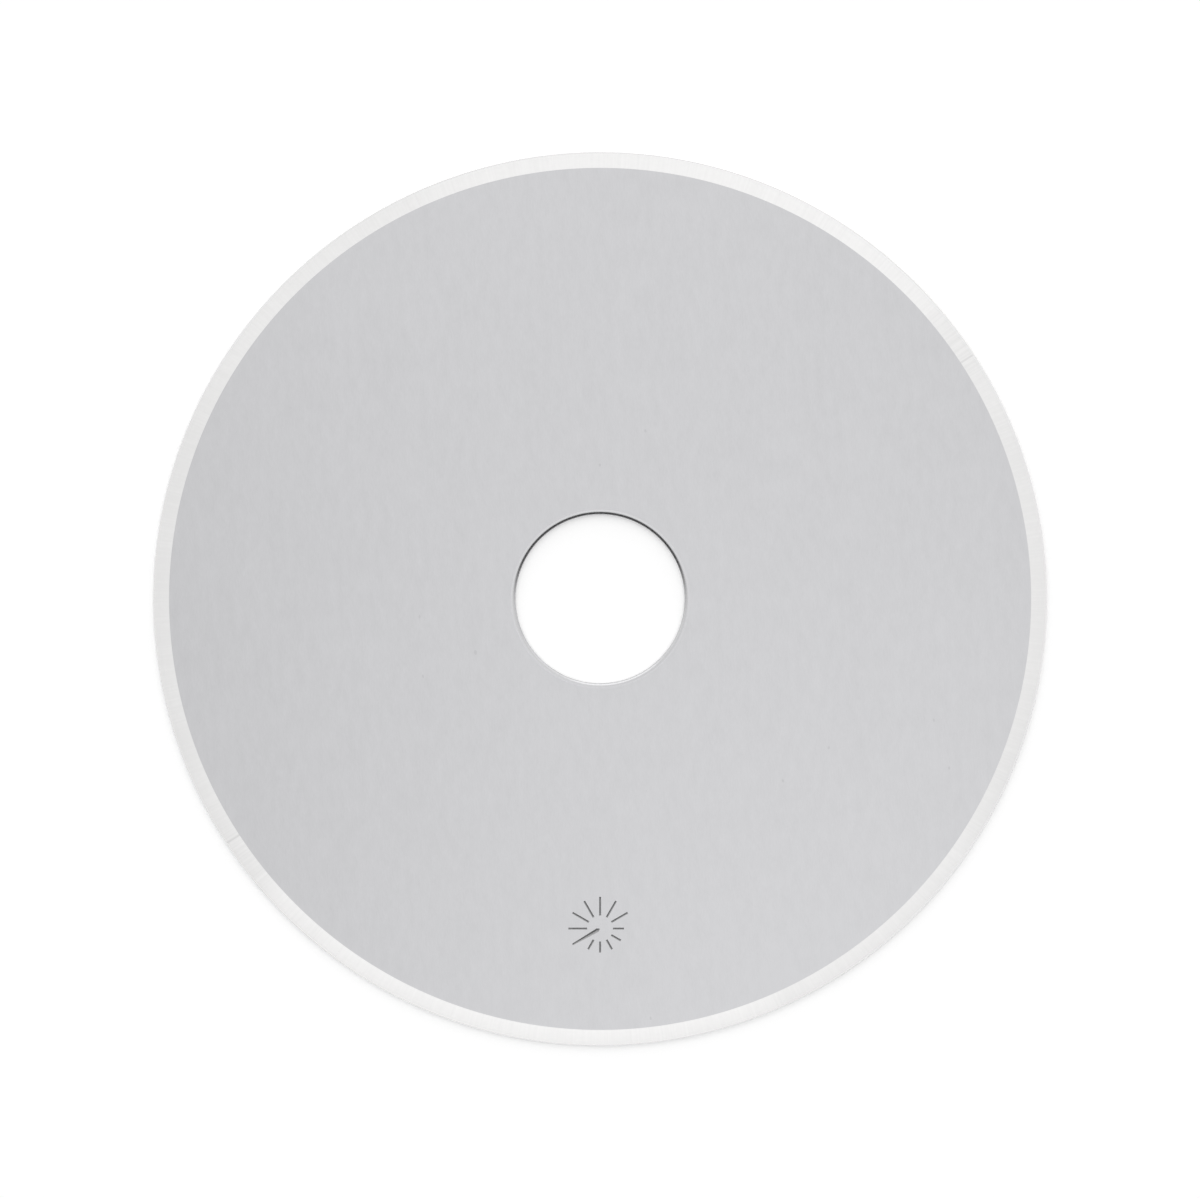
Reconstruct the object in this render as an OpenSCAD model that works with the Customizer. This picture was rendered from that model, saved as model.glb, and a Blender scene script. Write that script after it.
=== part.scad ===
// Rotary cutter blade: a thin hardened steel disc, ground from both faces to one keen round
// edge, with a plain bore that turns on the handle's pivot. It lies on its underside, with the
// origin on the bore's axis at that face and +Z up. Sizes are in millimetres and degrees.

/* [Disc] */
// Diameter over the cutting edge
disc_d = 45; // [28:0.5:65]
// Thickness of the hardened sheet
disc_t = 0.3; // [0.25:0.01:0.6]

/* [Cutting edge] */
// Width of the ground bevel on each face, along the radius
bevel_w = 0.8; // [0.5:0.05:2]
// Width of the honed strip at the tip of each bevel, along the radius
hone_w = 0.06; // [0.02:0.01:0.15]
// How much steeper the honed strip lies than the bevel behind it
hone_step = 4; // [2:1:15]

/* [Bore] */
// Diameter of the bore's straight wall
bore_d = 8.5; // [6:0.1:12]
// How far the rounded lip spreads over the engraved face, where the punch went in
lip_w = 0.24; // [0.14:0.01:0.4]
// How deep that lip runs down the bore's wall
lip_h = 0.12; // [0.02:0.01:0.14]
// How far the smaller lip on the underside spreads over it
under_lip_w = 0.1; // [0.06:0.01:0.3]
// How deep the smaller lip runs up the bore's wall
under_lip_h = 0.04; // [0.01:0.01:0.06]

/* [Dial mark] */
// Reach of the long ticks and of the hand from the dial's centre
dial_r = 1.6; // [1.3:0.05:2.5]
// Plain face left between the dial and the ground bevel
dial_gap = 3.5; // [0.5:0.1:5]
// Reach of the short ticks from the dial's centre
short_r = 1.2; // [0.9:0.05:1.5]
// Clear radius at the middle of the dial, where the ticks begin
clear_r = 0.65; // [0.4:0.05:0.8]
// Width of an engraved line at the face
line_w = 0.1; // [0.05:0.01:0.14]
// Depth of an engraved line
line_h = 0.04; // [0.02:0.01:0.08]
// Hour that the hand points to
hand_hour = 8; // [1:1:12]
// Width of the hand where it is widest
hand_w = 0.2; // [0.12:0.01:0.3]
// Width of the hand at its tip
hand_tip_w = 0.09; // [0.05:0.01:0.12]
// Depth of the hand where it is widest; its depth tapers with its width
hand_h = 0.06; // [0.03:0.01:0.1]
// How far from the dial's centre the hand is widest
hand_neck = 0.15; // [0.1:0.01:0.4]

/* [Hidden] */
$fn = 180;
// Flat steps that stand for the round of each lip
LIP_STEPS = 6;
// Ticks round the dial, one for each hour
HOURS = 12;
// Hour of the first short tick
FIRST_SHORT = 3;
// Hour of the last short tick
LAST_SHORT = 7;
// How far a cutter stands proud of the face that it cuts
PROUD = 0.05;

disc_r = disc_d / 2;
mid_z = disc_t / 2;
flat_r = disc_r - bevel_w;
hone_a = atan(mid_z / bevel_w) + hone_step;
hone_h = hone_w * tan(hone_a);
bore_r = bore_d / 2;
dial_y = -(flat_r - dial_gap - dial_r);

// Radius of the arc that leaves the face smoothly and ends on the bore's wall, w across and h deep
function lip_r(w, h) = (w * w + h * h) / (2 * h);

// A point on a lip's arc, with share 0 where it leaves the face and share 1 on the bore's wall
function lip_point(w, r, share) =
    let (a = asin(w / r) * share)
    [bore_r + w - r * sin(a), mid_z - r * (1 - cos(a))];

// Half of the section, from the bore's wall out over a lip to the tip, with heights from mid_z
function half_section(w, h) = concat(
    [for (i = [LIP_STEPS : -1 : 0]) lip_point(w, lip_r(w, h), i / LIP_STEPS)],
    [[flat_r, mid_z], [disc_r - hone_w, hone_h]]
);

// A half turned over, and taken backwards so that the outline runs round in one direction
function flipped(points) = [for (i = [len(points) - 1 : -1 : 0]) [points[i][0], -points[i][1]]];

module ground_disc()
    rotate_extrude()
        translate([0, mid_z])
            polygon(concat(
                half_section(lip_w, lip_h),
                [[disc_r, 0]],
                flipped(half_section(under_lip_w, under_lip_h))
            ));

// An engraved line that runs out along +X between two radii, as a V cut into the face
module line_cut(from_r, to_r)
    translate([from_r, 0, disc_t])
        rotate([90, 0, 90])
            linear_extrude(to_r - from_r)
                polygon([
                    [0, -line_h],
                    [line_w / 2, 0],
                    [line_w / 2, PROUD],
                    [-line_w / 2, PROUD],
                    [-line_w / 2, 0]
                ]);

// A swelling V cut along +X: it starts in a point, is widest at the neck and tapers to the tip
module hand_cut() {
    rim = [
        [0, 0],
        [hand_neck, -hand_w / 2],
        [dial_r, -hand_tip_w / 2],
        [dial_r, hand_tip_w / 2],
        [hand_neck, hand_w / 2]
    ];
    n = len(rim);
    keel = [[hand_neck, 0, -hand_h], [dial_r, 0, -hand_h * hand_tip_w / hand_w]];
    translate([0, 0, disc_t])
        polyhedron(
            points = concat(
                [for (p = rim) [p.x, p.y, PROUD]],
                [for (p = rim) [p.x, p.y, 0]],
                keel
            ),
            faces = concat(
                [[for (i = [n - 1 : -1 : 0]) i]],
                [for (i = [0 : n - 1]) [i, (i + 1) % n, n + (i + 1) % n, n + i]],
                [
                    [n, n + 1, 2 * n],
                    [n + 1, n + 2, 2 * n + 1, 2 * n],
                    [n + 2, n + 3, 2 * n + 1],
                    [n + 3, n + 4, 2 * n, 2 * n + 1],
                    [n + 4, n, 2 * n]
                ]
            )
        );
}

// Hours count clockwise from 12 at the top of the dial
module at_hour(hour)
    rotate(90 - hour * 360 / HOURS) children();

module dial_mark()
    translate([0, dial_y, 0]) {
        for (hour = [1 : HOURS])
            if (hour != hand_hour)
                at_hour(hour)
                    line_cut(clear_r, hour >= FIRST_SHORT && hour <= LAST_SHORT ? short_r : dial_r);
        at_hour(hand_hour) hand_cut();
    }

module blade()
    color("silver")
        difference() {
            ground_disc();
            dial_mark();
        }

blade();
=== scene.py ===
"""Dresses the rotary cutter blade: its fine round form, engraved dial, steel finishes and stage."""

import math

import bmesh
import bpy
from mathutils import Matrix, Quaternion, Vector


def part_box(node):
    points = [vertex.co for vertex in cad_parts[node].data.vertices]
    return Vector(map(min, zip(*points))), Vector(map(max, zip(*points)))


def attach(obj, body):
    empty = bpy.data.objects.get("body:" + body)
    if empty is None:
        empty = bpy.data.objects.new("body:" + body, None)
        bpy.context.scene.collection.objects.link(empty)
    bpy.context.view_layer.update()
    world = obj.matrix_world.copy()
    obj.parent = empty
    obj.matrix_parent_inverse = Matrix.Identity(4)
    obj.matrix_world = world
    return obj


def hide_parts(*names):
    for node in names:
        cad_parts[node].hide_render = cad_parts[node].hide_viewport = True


bl_info = {
    "name": "Rotary Cutter Blade",
    "version": (1, 0, 0),
    "blender": (4, 5, 0),
    "location": "View3D > Sidebar > Blade",
    "description": "Builds a ground steel rotary cutter blade with its engraved dial, finishes and stage",
    "category": "Object",
}

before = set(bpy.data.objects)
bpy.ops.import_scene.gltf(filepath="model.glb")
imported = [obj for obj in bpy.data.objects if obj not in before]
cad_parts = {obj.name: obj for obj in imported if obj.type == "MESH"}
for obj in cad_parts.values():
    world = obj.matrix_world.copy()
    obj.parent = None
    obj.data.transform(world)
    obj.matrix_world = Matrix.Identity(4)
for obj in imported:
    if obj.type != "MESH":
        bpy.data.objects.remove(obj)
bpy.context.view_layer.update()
LOW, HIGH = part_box("blade")

BODY = "root"
NODE = "blade"
PIECE = "ground_blade"

# The photograph's frame, and the edge circle as it lies in it, in pixels
PHOTO_W = 1200
PHOTO_H = 1198
PHOTO_EDGE_X = 600.1
PHOTO_EDGE_Y = 598.9
PHOTO_EDGE_R = 446.75


class BladeSizes(bpy.types.PropertyGroup):
    """Sizes of the turned and ground disc."""

    edge_radius: bpy.props.FloatProperty(
        name="Edge radius",
        description="From the bore's axis to the cutting edge",
        default=HIGH.x,
        subtype="DISTANCE",
        unit="LENGTH",
    )
    thickness: bpy.props.FloatProperty(
        name="Thickness",
        description="Thickness of the hardened sheet",
        default=HIGH.z - LOW.z,
        subtype="DISTANCE",
        unit="LENGTH",
    )
    bevel_width: bpy.props.FloatProperty(
        name="Bevel width",
        description="Width of the ground bevel on each face, along the radius",
        default=0.0008,
        subtype="DISTANCE",
        unit="LENGTH",
    )
    hone_width: bpy.props.FloatProperty(
        name="Honed width",
        description="Width of the honed strip at the tip, along the radius",
        default=0.00006,
        subtype="DISTANCE",
        unit="LENGTH",
    )
    hone_step: bpy.props.FloatProperty(
        name="Hone step",
        description="How much steeper the honed strip lies than the bevel behind it",
        default=math.radians(4),
        subtype="ANGLE",
        unit="ROTATION",
    )
    bore_radius: bpy.props.FloatProperty(
        name="Bore radius",
        description="Radius of the bore's straight wall",
        default=0.00425,
        subtype="DISTANCE",
        unit="LENGTH",
    )
    lip_width: bpy.props.FloatProperty(
        name="Lip width",
        description="How far the bore's rounded lip spreads over the engraved face",
        default=0.00024,
        subtype="DISTANCE",
        unit="LENGTH",
    )
    lip_depth: bpy.props.FloatProperty(
        name="Lip depth",
        description="How deep that lip runs down the bore's wall",
        default=0.00012,
        subtype="DISTANCE",
        unit="LENGTH",
    )
    under_lip_width: bpy.props.FloatProperty(
        name="Under lip width",
        description="How far the smaller lip on the underside spreads over it",
        default=0.0001,
        subtype="DISTANCE",
        unit="LENGTH",
    )
    under_lip_depth: bpy.props.FloatProperty(
        name="Under lip depth",
        description="How deep the smaller lip runs up the bore's wall",
        default=0.00004,
        subtype="DISTANCE",
        unit="LENGTH",
    )
    segments: bpy.props.IntProperty(
        name="Segments",
        description="Flat steps round the whole disc",
        default=720,
        min=72,
    )
    lip_steps: bpy.props.IntProperty(
        name="Lip steps",
        description="Flat steps over the round of the bore's lip",
        default=12,
        min=2,
    )


class DialSizes(bpy.types.PropertyGroup):
    """Sizes of the engraved dial mark."""

    edge_gap: bpy.props.FloatProperty(
        name="Gap to the bevel",
        description="Plain face left between the dial and the ground bevel",
        default=0.0035,
        subtype="DISTANCE",
        unit="LENGTH",
    )
    long_reach: bpy.props.FloatProperty(
        name="Long reach",
        description="From the dial's centre to the end of a long tick and of the hand",
        default=0.0016,
        subtype="DISTANCE",
        unit="LENGTH",
    )
    short_reach: bpy.props.FloatProperty(
        name="Short reach",
        description="From the dial's centre to the end of a short tick",
        default=0.0012,
        subtype="DISTANCE",
        unit="LENGTH",
    )
    clear_radius: bpy.props.FloatProperty(
        name="Clear radius",
        description="Where the ticks begin, from the dial's centre",
        default=0.00065,
        subtype="DISTANCE",
        unit="LENGTH",
    )
    line_width: bpy.props.FloatProperty(
        name="Line width",
        description="Width of an engraved line at the face",
        default=0.0001,
        subtype="DISTANCE",
        unit="LENGTH",
    )
    line_depth: bpy.props.FloatProperty(
        name="Line depth",
        description="Depth of an engraved line",
        default=0.00004,
        subtype="DISTANCE",
        unit="LENGTH",
    )
    hand_width: bpy.props.FloatProperty(
        name="Hand width",
        description="Width of the hand where it is widest",
        default=0.0002,
        subtype="DISTANCE",
        unit="LENGTH",
    )
    hand_tip_width: bpy.props.FloatProperty(
        name="Hand tip width",
        description="Width of the hand at its tip",
        default=0.00009,
        subtype="DISTANCE",
        unit="LENGTH",
    )
    hand_depth: bpy.props.FloatProperty(
        name="Hand depth",
        description="Depth of the hand where it is widest; its depth tapers with its width",
        default=0.00006,
        subtype="DISTANCE",
        unit="LENGTH",
    )
    hand_neck: bpy.props.FloatProperty(
        name="Hand neck",
        description="How far from the dial's centre the hand is widest",
        default=0.00015,
        subtype="DISTANCE",
        unit="LENGTH",
    )
    hours: bpy.props.IntProperty(name="Hours", description="Ticks round the dial", default=12, min=1)
    first_short: bpy.props.IntProperty(
        name="First short", description="Hour of the first short tick", default=3
    )
    last_short: bpy.props.IntProperty(
        name="Last short", description="Hour of the last short tick", default=7
    )
    hand_hour: bpy.props.IntProperty(
        name="Hand hour", description="Hour that the hand points to", default=8
    )


class SteelColours(bpy.types.PropertyGroup):
    """Colours of the blade's finishes."""

    face: bpy.props.FloatVectorProperty(
        name="Face",
        description="Satin ground face",
        subtype="COLOR",
        size=3,
        min=0,
        max=1,
        default=(0.628, 0.628, 0.642),
    )
    bevel: bpy.props.FloatVectorProperty(
        name="Bevel",
        description="Bright ground bevel",
        subtype="COLOR",
        size=3,
        min=0,
        max=1,
        default=(0.885, 0.88, 0.877),
    )
    hone: bpy.props.FloatVectorProperty(
        name="Hone",
        description="Honed strip at the tip",
        subtype="COLOR",
        size=3,
        min=0,
        max=1,
        default=(0.83, 0.825, 0.823),
    )
    wall: bpy.props.FloatVectorProperty(
        name="Bore wall",
        description="Blanked wall and lip of the bore",
        subtype="COLOR",
        size=3,
        min=0,
        max=1,
        default=(0.6, 0.6, 0.608),
    )
    groove: bpy.props.FloatVectorProperty(
        name="Groove",
        description="Engraved lines",
        subtype="COLOR",
        size=3,
        min=0,
        max=1,
        default=(0.4, 0.4, 0.405),
    )
    grain_lean: bpy.props.FloatProperty(
        name="Grain lean",
        description="Lean of the face's straight grain from upright, to the left at the top",
        default=math.radians(4),
        subtype="ANGLE",
        unit="ROTATION",
    )


class StageSizes(bpy.types.PropertyGroup):
    """Camera, lamps and floor."""

    lens: bpy.props.FloatProperty(
        name="Lens",
        description="Focal length in millimetres; a long one keeps the view square on",
        default=200,
        unit="CAMERA",
    )
    key_power: bpy.props.FloatProperty(
        name="Key power",
        description="Power of the soft lamp above the upper left",
        default=1.8,
        unit="POWER",
    )
    top_power: bpy.props.FloatProperty(
        name="Top power",
        description="Power of the long soft lamp overhead",
        default=0.1,
        unit="POWER",
    )
    world_strength: bpy.props.FloatProperty(
        name="World strength",
        description="Strength of the even light from all round",
        default=1.0,
    )
    floor_size: bpy.props.FloatProperty(
        name="Floor size",
        description="Side of the square floor",
        default=4,
        subtype="DISTANCE",
        unit="LENGTH",
    )


def add(tree, kind, settings=None, values=None, out=0):
    """Adds a node: its settings first, then the values or wires of its sockets, and gives one output."""
    node = tree.nodes.new(kind)
    for name, setting in (settings or {}).items():
        if name == "stops":
            ramp_stops(node.color_ramp, setting)
        else:
            setattr(node, name, setting)
    for key, value in (values or {}).items():
        socket = node.inputs[key]
        if isinstance(value, Wire):
            tree.links.new(value.socket, socket)
        else:
            socket.default_value = value
    return Wire(node.outputs[out]) if node.outputs else node


def ramp_stops(ramp, stops):
    """Gives a colour ramp its stops, as (place, grey level) pairs."""
    while len(ramp.elements) < len(stops):
        ramp.elements.new(1.0)
    for element, (place, level) in zip(ramp.elements, stops):
        element.position = place
        element.color = (level, level, level, 1.0)


class Wire:
    """One output of a node. Arithmetic on it adds Math nodes to the same tree."""

    def __init__(self, socket):
        self.socket = socket
        self.tree = socket.id_data

    def math(self, operation, *values):
        return add(self.tree, "ShaderNodeMath", {"operation": operation}, dict(enumerate(values)))

    def __add__(self, other):
        return self.math("ADD", self, other)

    def __radd__(self, other):
        return self.math("ADD", other, self)

    def __sub__(self, other):
        return self.math("SUBTRACT", self, other)

    def __rsub__(self, other):
        return self.math("SUBTRACT", other, self)

    def __mul__(self, other):
        return self.math("MULTIPLY", self, other)

    def __rmul__(self, other):
        return self.math("MULTIPLY", other, self)

    def __truediv__(self, other):
        return self.math("DIVIDE", self, other)

    def __rtruediv__(self, other):
        return self.math("DIVIDE", other, self)

    def __pow__(self, other):
        return self.math("POWER", self, other)

    def __gt__(self, other):
        return self.math("GREATER_THAN", self, other)

    def __lt__(self, other):
        return self.math("LESS_THAN", self, other)

    def smooth(self, low, high):
        """0 below low, 1 above high and an even curve between."""
        return add(
            self.tree,
            "ShaderNodeMapRange",
            {"interpolation_type": "SMOOTHSTEP"},
            {"Value": self, "From Min": low, "From Max": high},
        )


class Place:
    """Where a shaded point lies on the blade, in millimetres, as wires of one material."""

    def __init__(self, tree):
        self.tree = tree
        coordinates = add(tree, "ShaderNodeTexCoord", out="Object")
        millimetres = add(
            tree, "ShaderNodeVectorMath", {"operation": "SCALE"}, {0: coordinates, "Scale": 1000}
        )
        split = add(tree, "ShaderNodeSeparateXYZ", values={0: millimetres}).socket.node
        self.x, self.y, self.z = (Wire(split.outputs[i]) for i in range(3))
        self.radius = (self.x * self.x + self.y * self.y) ** 0.5

    def vector(self, x, y, z):
        return add(self.tree, "ShaderNodeCombineXYZ", values={0: x, 1: y, 2: z})

    def noise(self, x, y, z=0.0, detail=2.0, roughness=0.5, distortion=0.0):
        """Noise from 0 to 1 on coordinates that are already scaled to its cells."""
        return add(
            self.tree,
            "ShaderNodeTexNoise",
            {"noise_dimensions": "3D", "normalize": True},
            {
                "Vector": self.vector(x, y, z),
                "Scale": 1.0,
                "Detail": detail,
                "Roughness": roughness,
                "Distortion": distortion,
            },
        )

    def along_grain(self, lean):
        """Distances across and along a grain that leans to the left at its top."""
        across = self.x * math.cos(lean) + self.y * math.sin(lean)
        along = self.y * math.cos(lean) - self.x * math.sin(lean)
        return across, along


def mixed(tree, factor, low, high):
    """A colour between a colour or wire and another colour."""
    return add(
        tree,
        "ShaderNodeMix",
        {"data_type": "RGBA"},
        {0: factor, 6: low if isinstance(low, Wire) else (*low, 1.0), 7: (*high, 1.0)},
        out=2,
    )


def shade(colour, amount):
    """A colour made lighter or darker by a share of itself."""
    return tuple(min(1.0, channel * (1 + amount)) for channel in colour)


def steel(name, build):
    """A metal material. build(place) gives its base colour, roughness, bump height and bump depth."""
    material = bpy.data.materials.new(name)
    material.use_nodes = True
    tree = material.node_tree
    tree.nodes.clear()
    colour, roughness, height, depth = build(Place(tree))
    normal = add(tree, "ShaderNodeBump", values={"Height": height, "Distance": depth})
    surface = add(
        tree,
        "ShaderNodeBsdfPrincipled",
        values={"Base Color": colour, "Roughness": roughness, "Metallic": 1.0, "Normal": normal},
    )
    add(tree, "ShaderNodeOutputMaterial", values={"Surface": surface})
    return material


def satin_face(colours):
    """Ground face: short fine straight grain, soft mottling, a broad cloudy change of tone, a painted broad
    gradient of light and shade that is darkest at the left, and a few dark specks.
    """
    scratch = (0.075, 0.3)
    patch = (0.4, 1.1)
    cloud = (2.0, 4.5)
    pit = (0.3, 0.5)
    edge = 22.5

    def build(place):
        across, along = place.along_grain(colours.grain_lean)
        fine = place.noise(across / scratch[0], along / scratch[1], detail=3.0)
        mottle = place.noise(across / patch[0], along / patch[1], z=3.0)
        haze = place.noise(place.x / cloud[0], place.y / cloud[1], z=9.0)
        pits = place.noise(across / pit[0], along / pit[1], z=21.0, detail=0.0).smooth(0.87, 0.92)
        # Painted shade and light: these two terms paint a broad gradient over the face, darkest at the left and
        # lighter towards the bottom.
        east, north = place.x / edge, place.y / edge
        painted_light_slope = east * 0.23 - north * 0.11 - east * north * 0.2
        curve = north * north * 0.12 - east * east * 0.25
        tone = fine * 0.6 + mottle * 0.45 + haze * 0.35 + painted_light_slope + curve - 0.06 - pits * 0.6
        colour = mixed(place.tree, tone, shade(colours.face, -0.09), shade(colours.face, 0.09))
        roughness = 0.36 + fine * 0.1 + haze * 0.04
        return colour, roughness, fine + mottle * 0.5, 0.0000012

    return steel("satin_face", build)


def ground_bevel(colours):
    """Bright bevel with two brighter sectors of painted sheen, painted shade at two other pairs of bearings, and
    the wheel's lines out across it, most where they start.
    """
    line, spot = 0.11, 0.25
    # Bearings: the two brighter sectors of painted sheen, the start of the wheel's lines, the scar, and two
    # bearings of painted shade.
    sector = math.radians(77)
    start = math.radians(35.5)
    scar = math.radians(33.2)
    painted_shade_bearing = math.radians(28)
    painted_dark_bearing = math.radians(-5)

    def build(place):
        east, north = place.x / place.radius, place.y / place.radius
        turns = 22.1 / line
        lines = place.noise(east * turns, north * turns, place.radius * 0.1, detail=1.0)
        bands = place.noise(east * 8, north * 8, 5.0) + place.noise(east * 60, north * 60, 6.0)
        spots = place.noise(place.x / spot, place.y / spot, 8.0)
        toward_painted_sheen = east * math.cos(sector) + north * math.sin(sector)
        toward_start = east * math.cos(start) + north * math.sin(start)
        toward_scar = east * math.cos(scar) + north * math.sin(scar)
        toward_painted_shade = east * math.cos(painted_shade_bearing) + north * math.sin(painted_shade_bearing)
        toward_painted_dark = east * math.cos(painted_dark_bearing) + north * math.sin(painted_dark_bearing)
        # Painted sheen and painted shade by bearing round the bevel: the two brighter sectors are painted sheen,
        # and the darker bands at the two other pairs of bearings are painted shade.
        bright = (toward_painted_sheen * toward_painted_sheen).smooth(0.6, 0.7)
        low = (toward_painted_dark * toward_painted_dark).smooth(0.72, 0.95)
        painted_shade_band = (toward_painted_shade * toward_painted_shade).smooth(0.93, 0.985)
        marks = (toward_start * toward_start).smooth(0.99, 0.999)
        deep = (toward_scar * toward_scar).smooth(0.999993, 0.999998) * (1.3 - lines)
        grain = (lines - 0.5) * (marks * 0.5 + 0.4) + (bands - 1.0) * 0.2 + (spots - 0.5) * 0.25
        tone = 0.34 + grain + bright * 0.18 - low * 0.3 - painted_shade_band * 0.2
        plain = mixed(place.tree, tone, shade(colours.bevel, -0.09), shade(colours.bevel, 0.09))
        colour = mixed(place.tree, deep, plain, shade(colours.bevel, -0.2))
        return colour, 0.27 + lines * 0.02, lines, 0.0000001

    return steel("ground_bevel", build)


def honed_strip(colours):
    """The last narrow strip, honed finer than the bevel."""
    line = 0.025

    def build(place):
        turns = 22.5 / line
        lines = place.noise(place.x / place.radius * turns, place.y / place.radius * turns, 2.0, detail=1.0)
        colour = mixed(place.tree, lines, shade(colours.hone, -0.04), shade(colours.hone, 0.04))
        return colour, 0.2 + lines * 0.05, lines, 0.0000003

    return steel("honed_strip", build)


def blanked_wall(colours):
    """The bore's lip and wall: the face's steel rolls over into a sheared band over a rougher broken one."""
    wall, rolled = 4.25, 0.24

    def build(place):
        lines_x = place.x / place.radius * 90
        lines_y = place.y / place.radius * 90
        drag = place.noise(lines_x, lines_y, place.z * 2.0, detail=2.0)
        edge = place.noise(lines_x * 0.2, lines_y * 0.2, 7.0) * 0.05
        broken = (0.12 + edge - place.z).smooth(0.0, 0.02)
        crumbs = place.noise(place.x * 60, place.y * 60, place.z * 60, detail=3.0)
        tone = drag * 0.6 + 0.4 - broken * 0.5
        sheared = mixed(place.tree, tone, shade(colours.wall, -0.3), shade(colours.wall, 0.1))
        roll = (place.radius - wall).smooth(0.0, rolled)
        colour = mixed(place.tree, roll, sheared, colours.face)
        roughness = 0.2 + drag * 0.08 + broken * 0.3
        return colour, roughness, drag * 0.4 + crumbs * broken, 0.000002

    return steel("blanked_wall", build)


def etched_groove(colours):
    """Engraved lines, rougher and darker than the face."""

    def build(place):
        chatter = place.noise(place.x * 30, place.y * 30, place.z * 30, detail=2.0)
        colour = mixed(place.tree, chatter, shade(colours.groove, -0.3), shade(colours.groove, 0.3))
        return colour, 0.42 + chatter * 0.2, chatter, 0.000002

    return steel("etched_groove", build)


def half_section(sizes, lip_width, lip_depth):
    """Half of the section, from the bore's wall to the tip, as (radius, height, zone to the next)."""
    half = sizes.thickness / 2
    lip_r = (lip_width**2 + lip_depth**2) / (2 * lip_depth)
    sweep = math.asin(lip_width / lip_r)
    hone_angle = math.atan(half / sizes.bevel_width) + sizes.hone_step
    points = []
    for step in range(sizes.lip_steps, -1, -1):
        angle = sweep * step / sizes.lip_steps
        radius = sizes.bore_radius + lip_width - lip_r * math.sin(angle)
        height = half - lip_r * (1 - math.cos(angle))
        points.append((radius, height, "wall"))
    points[-1] = (*points[-1][:2], "face")
    points.append((sizes.edge_radius - sizes.bevel_width, half, "bevel"))
    hone_height = sizes.hone_width * math.tan(hone_angle)
    points.append((sizes.edge_radius - sizes.hone_width, hone_height, "hone"))
    points.append((sizes.edge_radius, 0.0, "hone"))
    return points


def whole_section(sizes):
    """The closed section, up the bore's wall, out over the face and back under it."""
    upper = half_section(sizes, sizes.lip_width, sizes.lip_depth)
    lower = half_section(sizes, sizes.under_lip_width, sizes.under_lip_depth)
    middle = LOW.z + sizes.thickness / 2
    ring = [(radius, middle + height, zone) for radius, height, zone in upper]
    for i in range(len(lower) - 2, -1, -1):
        radius, height, zone = lower[i]
        ring.append((radius, middle - height, lower[i - 1][2] if i else "wall"))
    return ring


ZONES = ("face", "bevel", "hone", "wall", "groove")


def turned_mesh(sizes):
    """The section turned round the bore's axis into one closed mesh."""
    section = whole_section(sizes)
    mesh = bmesh.new()
    rings = []
    for radius, height, _ in section:
        ring = []
        for i in range(sizes.segments):
            angle = 2 * math.pi * i / sizes.segments
            ring.append(mesh.verts.new((radius * math.cos(angle), radius * math.sin(angle), height)))
        rings.append(ring)
    for k, (_, _, zone) in enumerate(section):
        here, after = rings[k], rings[(k + 1) % len(rings)]
        for i in range(sizes.segments):
            j = (i + 1) % sizes.segments
            face = mesh.faces.new((here[i], after[i], after[j], here[j]))
            face.material_index = ZONES.index(zone)
            face.smooth = True
    bmesh.ops.recalc_face_normals(mesh, faces=mesh.faces)
    data = bpy.data.meshes.new(PIECE)
    mesh.to_mesh(data)
    mesh.free()
    return data


class BLADE_OT_ground_disc(bpy.types.Operator):
    """Turn and grind the disc, with its bore, lips, bevels and honed tip"""

    bl_idname = "blade.ground_disc"
    bl_label = "Ground disc"

    def execute(self, context):
        settings = context.scene.cutter_blade
        data = turned_mesh(settings.disc)
        for finish in (satin_face, ground_bevel, honed_strip, blanked_wall, etched_groove):
            data.materials.append(finish(settings.colours))
        disc = bpy.data.objects.new(PIECE, data)
        context.scene.collection.objects.link(disc)
        return {"FINISHED"}


def cut_mesh(rim, keel, groove):
    """A graver's V cut, from a rim of points on the face down to a keel, with a lid over the face."""
    mesh = bmesh.new()
    for x, y in rim:
        mesh.verts.new((x, y, 0.0))
        mesh.verts.new((x, y, -keel[0][2]))
    for point in keel:
        mesh.verts.new(point)
    bmesh.ops.convex_hull(mesh, input=mesh.verts)
    bmesh.ops.recalc_face_normals(mesh, faces=mesh.faces)
    data = bpy.data.meshes.new("graver_cut")
    mesh.to_mesh(data)
    mesh.free()
    data.materials.append(groove)
    return data


def tick_cut(dial, groove):
    """A tick's cut of unit length along +X, which runs out at both ends."""
    half = dial.line_width / 2
    run_out = 0.06
    rim = [(0.0, -half), (1.0, -half), (1.0, half), (0.0, half)]
    keel = [(run_out, 0.0, -dial.line_depth), (1.0 - run_out, 0.0, -dial.line_depth)]
    return cut_mesh(rim, keel, groove)


def hand_cut(dial, groove):
    """The hand's cut: it starts in a point, is widest at the neck and tapers to the tip."""
    neck, reach = dial.hand_neck, dial.long_reach
    half, tip = dial.hand_width / 2, dial.hand_tip_width / 2
    rim = [(0.0, 0.0), (neck, -half), (reach, -tip), (reach, tip), (neck, half)]
    keel = [(neck, 0.0, -dial.hand_depth), (reach, 0.0, -dial.hand_depth * tip / half)]
    data = cut_mesh(rim, keel, groove)
    data.transform(Matrix.Rotation(math.pi / 2 - dial.hand_hour * 2 * math.pi / dial.hours, 4, "Z"))
    return data


DIAL_INPUTS = {
    "Cut": "NodeSocketObject",
    "Hours": "NodeSocketInt",
    "Clear radius": "NodeSocketFloat",
    "Long reach": "NodeSocketFloat",
    "Short reach": "NodeSocketFloat",
    "First short": "NodeSocketInt",
    "Last short": "NodeSocketInt",
    "Hand hour": "NodeSocketInt",
    "Material": "NodeSocketMaterial",
}


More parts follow.
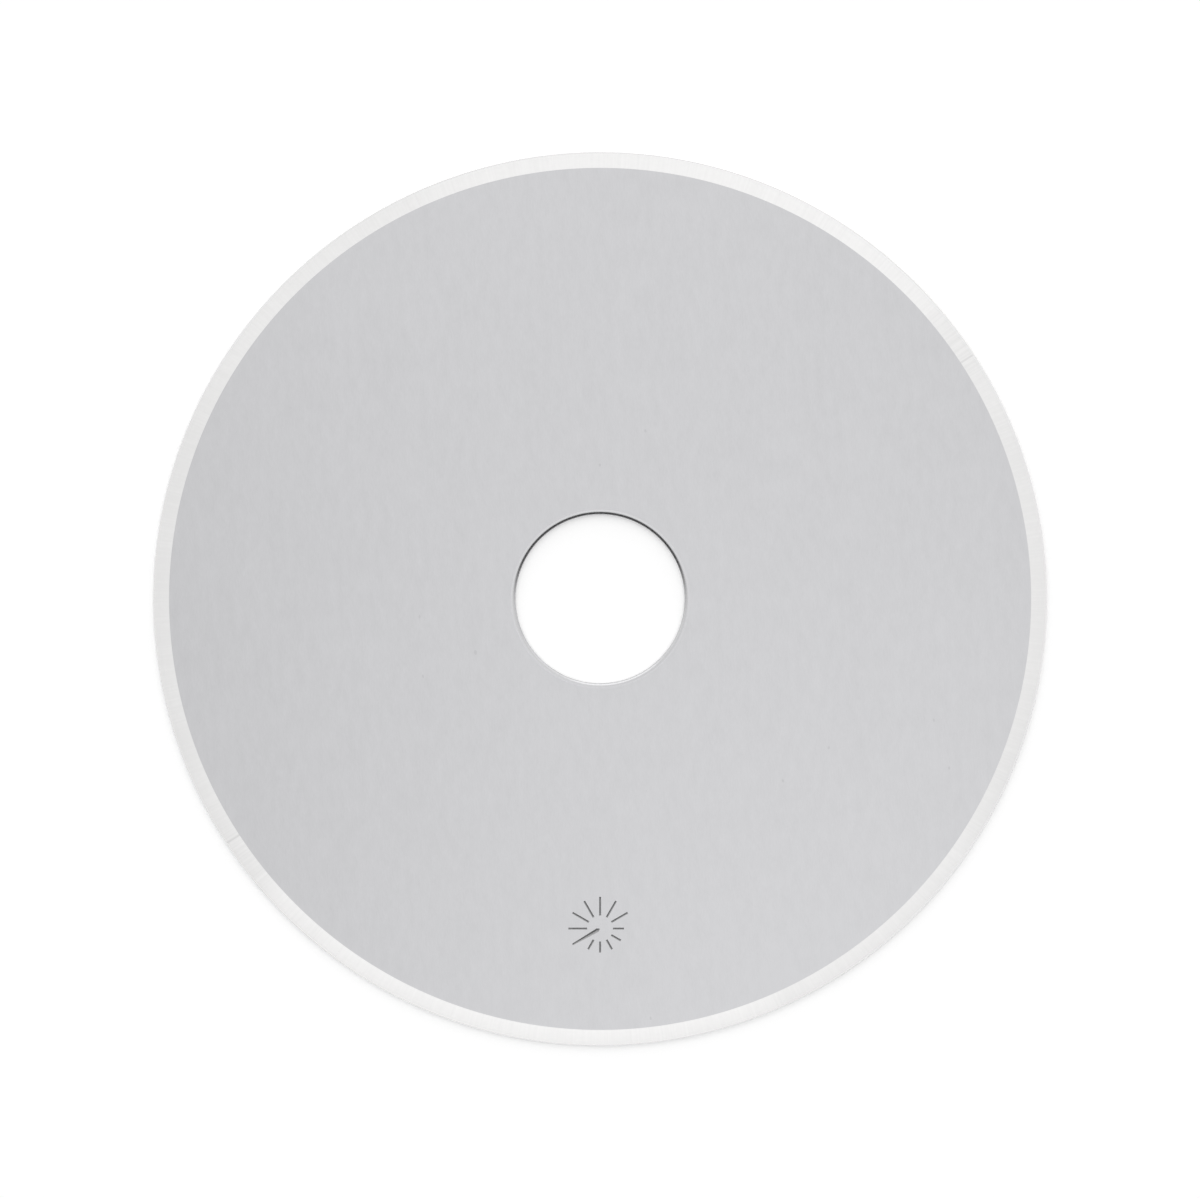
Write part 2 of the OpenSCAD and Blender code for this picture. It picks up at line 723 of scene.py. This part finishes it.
def dial_tree():
    """Geometry Nodes that lay the graver's cuts round a dial, one for each hour but the hand's."""
    tree = bpy.data.node_groups.new("dial_cuts", "GeometryNodeTree")
    tree.interface.new_socket("Geometry", in_out="INPUT", socket_type="NodeSocketGeometry")
    for name, kind in DIAL_INPUTS.items():
        tree.interface.new_socket(name, in_out="INPUT", socket_type=kind)
    tree.interface.new_socket("Geometry", in_out="OUTPUT", socket_type="NodeSocketGeometry")
    given = tree.nodes.new("NodeGroupInput").outputs
    hours, clear = Wire(given["Hours"]), Wire(given["Clear radius"])
    hour = add(tree, "GeometryNodeInputIndex") + 1
    half = 0.5
    short = (hour > Wire(given["First short"]) - half) * (hour < Wire(given["Last short"]) + half)
    hand = (hour > Wire(given["Hand hour"]) - half) * (hour < Wire(given["Hand hour"]) + half)
    reach = Wire(given["Long reach"]) * (1 - short) + Wire(given["Short reach"]) * short
    angle = math.pi / 2 - hour * (2 * math.pi) / hours
    place = add(
        tree,
        "ShaderNodeCombineXYZ",
        values={0: clear * angle.math("COSINE", angle), 1: clear * angle.math("SINE", angle)},
    )
    points = add(tree, "GeometryNodePoints", values={"Count": hours, "Position": place})
    cut = add(tree, "GeometryNodeObjectInfo", values={"Object": Wire(given["Cut"])}, out="Geometry")
    turn = add(tree, "ShaderNodeCombineXYZ", values={2: angle})
    stretch = add(tree, "ShaderNodeCombineXYZ", values={0: reach - clear, 1: 1.0, 2: 1.0})
    cuts = add(
        tree,
        "GeometryNodeInstanceOnPoints",
        values={
            "Points": points,
            "Selection": 1 - hand,
            "Instance": cut,
            "Rotation": turn,
            "Scale": stretch,
        },
    )
    solid = add(tree, "GeometryNodeRealizeInstances", values={"Geometry": cuts})
    named = add(
        tree,
        "GeometryNodeSetMaterial",
        values={"Geometry": solid, "Material": Wire(given["Material"])},
    )
    add(tree, "NodeGroupOutput", values={"Geometry": named})
    return tree


def set_inputs(modifier, values):
    """Sets a Geometry Nodes modifier's inputs by the names of its tree's sockets."""
    for item in modifier.node_group.interface.items_tree:
        if item.in_out == "INPUT" and item.name in values:
            modifier[item.identifier] = values[item.name]


def finished_mesh(item):
    """The object's mesh with its modifiers applied."""
    evaluated = item.evaluated_get(bpy.context.evaluated_depsgraph_get())
    return bpy.data.meshes.new_from_object(evaluated)


def tick_cuts(context, dial, groove):
    """All of the dial's ticks as one mesh round the origin."""
    graver = bpy.data.objects.new("graver", tick_cut(dial, groove))
    ticks = bpy.data.objects.new("ticks", bpy.data.meshes.new("ticks"))
    context.scene.collection.objects.link(graver)
    context.scene.collection.objects.link(ticks)
    modifier = ticks.modifiers.new("dial_cuts", "NODES")
    modifier.node_group = dial_tree()
    set_inputs(
        modifier,
        {
            "Cut": graver,
            "Hours": dial.hours,
            "Clear radius": dial.clear_radius,
            "Long reach": dial.long_reach,
            "Short reach": dial.short_reach,
            "First short": dial.first_short,
            "Last short": dial.last_short,
            "Hand hour": dial.hand_hour,
            "Material": groove,
        },
    )
    context.view_layer.update()
    data = finished_mesh(ticks)
    ticks.modifiers.clear()
    bpy.data.objects.remove(ticks)
    bpy.data.objects.remove(graver)
    return data


def engrave(context, blade, cuts):
    """Takes one mesh of cuts out of the blade, which keeps the cuts' material on its new faces."""
    cutter = bpy.data.objects.new("cutter", cuts)
    context.scene.collection.objects.link(cutter)
    modifier = blade.modifiers.new("engrave", "BOOLEAN")
    modifier.operation = "DIFFERENCE"
    modifier.solver = "EXACT"
    modifier.material_mode = "TRANSFER"
    modifier.object = cutter
    context.view_layer.update()
    engraved = finished_mesh(blade)
    blade.modifiers.clear()
    blade.data = engraved
    bpy.data.objects.remove(cutter)


class BLADE_OT_dial_mark(bpy.types.Operator):
    """Engrave the dial's ticks and hand into the upper face"""

    bl_idname = "blade.dial_mark"
    bl_label = "Dial mark"

    def execute(self, context):
        settings = context.scene.cutter_blade
        disc, dial = settings.disc, settings.dial
        blade = bpy.data.objects.get(PIECE)
        if blade is None:
            raise RuntimeError("turn the ground disc before its dial is engraved")
        flat_radius = disc.edge_radius - disc.bevel_width
        centre = Vector((0.0, dial.edge_gap + dial.long_reach - flat_radius, LOW.z + disc.thickness))
        groove = blade.data.materials[ZONES.index("groove")]
        for cuts in (tick_cuts(context, dial, groove), hand_cut(dial, groove)):
            cuts.transform(Matrix.Translation(centre))
            engrave(context, blade, cuts)
        blade.data.set_sharp_from_angle(angle=math.radians(5))
        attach(blade, BODY)
        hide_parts(NODE)
        return {"FINISHED"}


def area_lamp(context, name, place, size, power, turn=0.0):
    """A soft rectangular lamp that points at the blade, turned about its own axis."""
    lamp = bpy.data.lights.new(name, "AREA")
    lamp.shape = "RECTANGLE"
    lamp.size, lamp.size_y = size
    lamp.energy = power
    item = bpy.data.objects.new(name, lamp)
    item.location = place
    aim = (-Vector(place)).to_track_quat("-Z", "Y")
    item.rotation_euler = (aim @ Quaternion((0, 0, 1), turn)).to_euler()
    context.scene.collection.objects.link(item)
    return item


def stage_world(scene, strength):
    """A pale ceiling, a little dimmer to the sides, over a bright wall to the north and a dark one southwards."""
    world = bpy.data.worlds.new("studio")
    world.use_nodes = True
    tree = world.node_tree
    tree.nodes.clear()
    ray = add(tree, "ShaderNodeTexCoord", out="Generated")
    split = add(tree, "ShaderNodeSeparateXYZ", values={0: ray}).socket.node
    east, north, up = (Wire(split.outputs[i]) for i in range(3))
    sector, wall, dusk = math.radians(77), math.radians(100), math.radians(271)
    aside = east * math.sin(sector) - north * math.cos(sector)
    ahead = east * math.cos(wall) + north * math.sin(wall)
    behind = east * math.cos(dusk) + north * math.sin(dusk)
    ceiling = 1.04 + east * 0.05 - north * 0.17 - aside * aside * 0.2
    bright = ahead.smooth(0.05, 0.6) * (1 - up.smooth(0.2, 0.95))
    west = (0 - east).smooth(0.1, 0.7)
    dark = behind.smooth(-0.05, 0.4) * (1 - up.smooth(0.67, 0.86))
    level = ceiling * (1 + bright * (0.34 + west * 0.15) - dark * 0.94)
    background = add(tree, "ShaderNodeBackground", values={0: (1.0, 1.0, 1.0, 1.0), 1: level * strength})
    add(tree, "ShaderNodeOutputWorld", values={"Surface": background})
    scene.world = world


def stage_floor(context, side):
    """A pale floor under the blade that keeps its shadow."""
    data = bpy.data.meshes.new("floor")
    half, height = side / 2, LOW.z - 0.00001
    corners = [(-half, -half, height), (half, -half, height), (half, half, height), (-half, half, height)]
    data.from_pydata(corners, [], [(0, 1, 2, 3)])
    material = bpy.data.materials.new("pale_floor")
    material.use_nodes = True
    tree = material.node_tree
    tree.nodes.clear()
    paper = add(tree, "ShaderNodeBsdfDiffuse", values={"Color": (0.93, 0.93, 0.93, 1.0)})
    path = add(tree, "ShaderNodeLightPath").socket.node.outputs
    seen = Wire(path["Is Camera Ray"]) + Wire(path["Is Glossy Ray"]) + Wire(path["Is Transmission Ray"])
    lift = add(tree, "ShaderNodeEmission", values={"Strength": seen * 0.26})
    both = add(tree, "ShaderNodeAddShader", values={0: paper, 1: lift})
    add(tree, "ShaderNodeOutputMaterial", values={"Surface": both})
    data.materials.append(material)
    floor = bpy.data.objects.new("floor", data)
    context.scene.collection.objects.link(floor)


def stage_camera(context, lens, edge_radius):
    """A long lens straight above, so that the edge circle lies where the photograph has it."""
    data = bpy.data.cameras.new("camera")
    data.lens = lens
    metres_a_pixel = edge_radius / PHOTO_EDGE_R
    distance = PHOTO_W * metres_a_pixel * data.lens / data.sensor_width
    camera = bpy.data.objects.new("camera", data)
    camera.location = (
        (PHOTO_W / 2 - PHOTO_EDGE_X) * metres_a_pixel,
        (PHOTO_EDGE_Y - PHOTO_H / 2) * metres_a_pixel,
        (LOW.z + HIGH.z) / 2 + distance,
    )
    data.clip_start, data.clip_end = distance * 0.01, distance * 100
    context.scene.collection.objects.link(camera)
    context.scene.camera = camera


class BLADE_OT_stage(bpy.types.Operator):
    """Set the pale floor, the soft lamps, the world and the camera"""

    bl_idname = "blade.stage"
    bl_label = "Stage"

    def execute(self, context):
        settings = context.scene.cutter_blade
        stage = settings.stage
        stage_floor(context, stage.floor_size)
        stage_world(context.scene, stage.world_strength)
        area_lamp(context, "key", (-0.25, 1.35, 0.6), (1.6, 0.8), stage.key_power)
        area_lamp(context, "overhead", (0.0, 0.0, 1.1), (0.48, 1.5), stage.top_power, math.radians(-13))
        stage_camera(context, stage.lens, settings.disc.edge_radius)
        view = context.scene.view_settings
        view.view_transform = "Standard"
        return {"FINISHED"}


class BladeSettings(bpy.types.PropertyGroup):
    """Everything that a user can change on the blade and its stage."""

    disc: bpy.props.PointerProperty(type=BladeSizes, name="Disc", description="Sizes of the disc")
    dial: bpy.props.PointerProperty(type=DialSizes, name="Dial", description="Sizes of the dial mark")
    colours: bpy.props.PointerProperty(type=SteelColours, name="Colours", description="Steel finishes")
    stage: bpy.props.PointerProperty(type=StageSizes, name="Stage", description="Camera, lamps and floor")


OPERATORS = (BLADE_OT_ground_disc, BLADE_OT_dial_mark, BLADE_OT_stage)


class BLADE_PT_panel(bpy.types.Panel):
    """Lists the steps that build the blade"""

    bl_label = "Rotary Cutter Blade"
    bl_idname = "BLADE_PT_panel"
    bl_space_type = "VIEW_3D"
    bl_region_type = "UI"
    bl_category = "Blade"

    def draw(self, context):
        for operator in OPERATORS:
            self.layout.operator(operator.bl_idname)
        settings = context.scene.cutter_blade
        for name in ("disc", "dial", "colours", "stage"):
            group = getattr(settings, name)
            box = self.layout.box()
            for prop in group.bl_rna.properties:
                if prop.identifier not in ("rna_type", "name"):
                    box.prop(group, prop.identifier)


CLASSES = (BladeSizes, DialSizes, SteelColours, StageSizes, BladeSettings, *OPERATORS, BLADE_PT_panel)


def register():
    for each in CLASSES:
        bpy.utils.register_class(each)
    bpy.types.Scene.cutter_blade = bpy.props.PointerProperty(type=BladeSettings)


def unregister():
    del bpy.types.Scene.cutter_blade
    for each in reversed(CLASSES):
        bpy.utils.unregister_class(each)


def main():
    register()
    bpy.ops.blade.ground_disc()
    bpy.ops.blade.dial_mark()
    bpy.ops.blade.stage()


if __name__ == "__main__":
    main()
